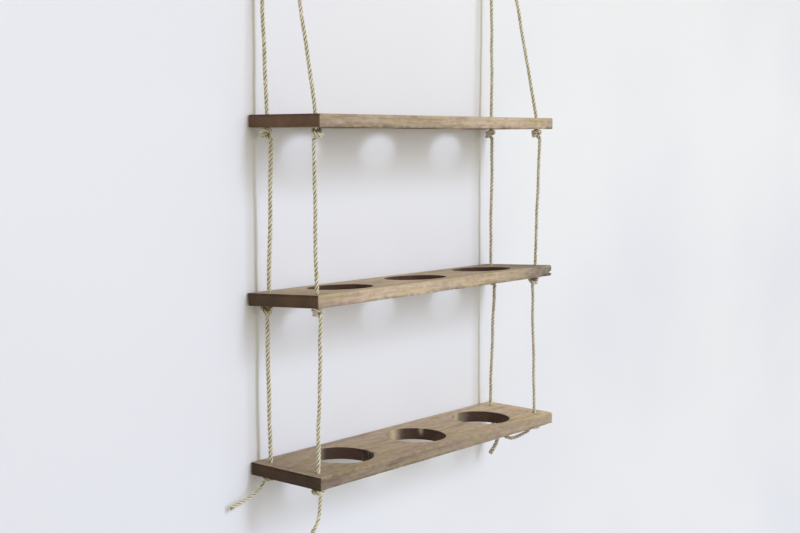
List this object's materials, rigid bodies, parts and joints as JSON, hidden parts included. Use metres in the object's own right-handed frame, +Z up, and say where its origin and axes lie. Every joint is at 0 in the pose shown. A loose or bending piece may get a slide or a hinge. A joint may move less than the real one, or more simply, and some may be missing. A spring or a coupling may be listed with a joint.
{
  "type": "hanging rope shelf",
  "caption": "Rustic wooden wall shelf: boards with round cut-outs, hung one below the other on knotted natural rope from wall hooks",
  "frame": {"origin": "on the wall, midway between the two hook arms and level with them; the whole shelf hangs below it", "axes": "+X to the right seen from the front, +Y towards the wall, +Z up"},
  "size_m": [0.676, 0.1417, 1.1694],
  "materials": {
    "board_wood": "rough sawn, thinly stained greyish brown, worn pale on the edges",
    "natural_rope": "dry twisted plant-fibre rope",
    "hook_iron": "satin black",
    "screw_steel": "bare steel"
  },
  "bodies": {
    "wall_hooks": {"left_hook": "hook_iron", "left_hook_screw_upper": "screw_steel", "left_hook_screw_lower": "screw_steel", "right_hook": "hook_iron", "right_hook_screw_upper": "screw_steel", "right_hook_screw_lower": "screw_steel"},
    "left_loop": {"left_rope_loop": "natural_rope"},
    "right_loop": {"right_rope_loop": "natural_rope"},
    "left_upper_ropes": {"left_front_upper_rope": "natural_rope", "left_rear_upper_rope": "natural_rope"},
    "right_upper_ropes": {"right_front_upper_rope": "natural_rope", "right_rear_upper_rope": "natural_rope"},
    "top_shelf": {"top_board": "board_wood", "left_front_top_knot": "natural_rope", "left_rear_top_knot": "natural_rope", "right_front_top_knot": "natural_rope", "right_rear_top_knot": "natural_rope"},
    "left_middle_ropes": {"left_front_middle_rope": "natural_rope", "left_rear_middle_rope": "natural_rope"},
    "right_middle_ropes": {"right_front_middle_rope": "natural_rope", "right_rear_middle_rope": "natural_rope"},
    "middle_shelf": {"middle_board": "board_wood", "left_front_middle_knot": "natural_rope", "left_rear_middle_knot": "natural_rope", "right_front_middle_knot": "natural_rope", "right_rear_middle_knot": "natural_rope"},
    "left_lower_ropes": {"left_front_lower_rope": "natural_rope", "left_rear_lower_rope": "natural_rope"},
    "right_lower_ropes": {"right_front_lower_rope": "natural_rope", "right_rear_lower_rope": "natural_rope"},
    "bottom_shelf": {"bottom_board": "board_wood", "left_front_bottom_knot": "natural_rope", "left_rear_bottom_knot": "natural_rope", "right_front_bottom_knot": "natural_rope", "right_rear_bottom_knot": "natural_rope", "left_front_tail": "natural_rope", "left_rear_tail": "natural_rope", "right_front_tail": "natural_rope", "right_rear_tail": "natural_rope"}
  },
  "joints": [
    {"name": "swing_out", "type": "hinge", "parent": "wall_hooks", "child": "left_loop", "pos_m": [-0.29, -0.017, 0.0063], "axis": [-1, 0, 0], "range_deg": [0, 25]},
    {"name": "right_swing_out", "type": "hinge", "parent": "wall_hooks", "child": "right_loop", "pos_m": [0.29, -0.017, 0.0063], "axis": [-1, 0, 0], "range_deg": [0, 25]},
    {"name": "sway_top", "type": "hinge", "parent": "left_loop", "child": "left_upper_ropes", "pos_m": [-0.29, -0.017, -0.0384], "axis": [0, 1, 0], "range_deg": [-10, 10]},
    {"name": "right_sway_top", "type": "hinge", "parent": "right_loop", "child": "right_upper_ropes", "pos_m": [0.29, -0.017, -0.0384], "axis": [0, 1, 0], "range_deg": [-10, 10]},
    {"name": "top_shelf_level", "type": "hinge", "parent": "left_upper_ropes", "child": "top_shelf", "pos_m": [-0.29, -0.071, -0.54], "axis": [0, 1, 0], "range_deg": [-10, 10]},
    {"name": "sway_middle", "type": "hinge", "parent": "top_shelf", "child": "left_middle_ropes", "pos_m": [-0.29, -0.071, -0.584], "axis": [0, 1, 0], "range_deg": [-10, 10]},
    {"name": "right_sway_middle", "type": "hinge", "parent": "top_shelf", "child": "right_middle_ropes", "pos_m": [0.29, -0.071, -0.584], "axis": [0, 1, 0], "range_deg": [-10, 10]},
    {"name": "middle_shelf_level", "type": "hinge", "parent": "left_middle_ropes", "child": "middle_shelf", "pos_m": [-0.29, -0.071, -0.802], "axis": [0, 1, 0], "range_deg": [-10, 10]},
    {"name": "sway_bottom", "type": "hinge", "parent": "middle_shelf", "child": "left_lower_ropes", "pos_m": [-0.29, -0.071, -0.84601], "axis": [0, 1, 0], "range_deg": [-10, 10]},
    {"name": "right_sway_bottom", "type": "hinge", "parent": "middle_shelf", "child": "right_lower_ropes", "pos_m": [0.29, -0.071, -0.84601], "axis": [0, 1, 0], "range_deg": [-10, 10]},
    {"name": "bottom_shelf_level", "type": "hinge", "parent": "left_lower_ropes", "child": "bottom_shelf", "pos_m": [-0.29, -0.071, -1.064], "axis": [0, 1, 0], "range_deg": [-10, 10]}
  ],
  "couplings": [
    {"joint": "right_swing_out", "follows": "swing_out", "ratio": 1},
    {"joint": "right_sway_top", "follows": "sway_top", "ratio": 1},
    {"joint": "top_shelf_level", "follows": "sway_top", "ratio": -1},
    {"joint": "right_sway_middle", "follows": "sway_middle", "ratio": 1},
    {"joint": "middle_shelf_level", "follows": "sway_middle", "ratio": -1},
    {"joint": "right_sway_bottom", "follows": "sway_bottom", "ratio": 1},
    {"joint": "bottom_shelf_level", "follows": "sway_bottom", "ratio": -1}
  ]
}
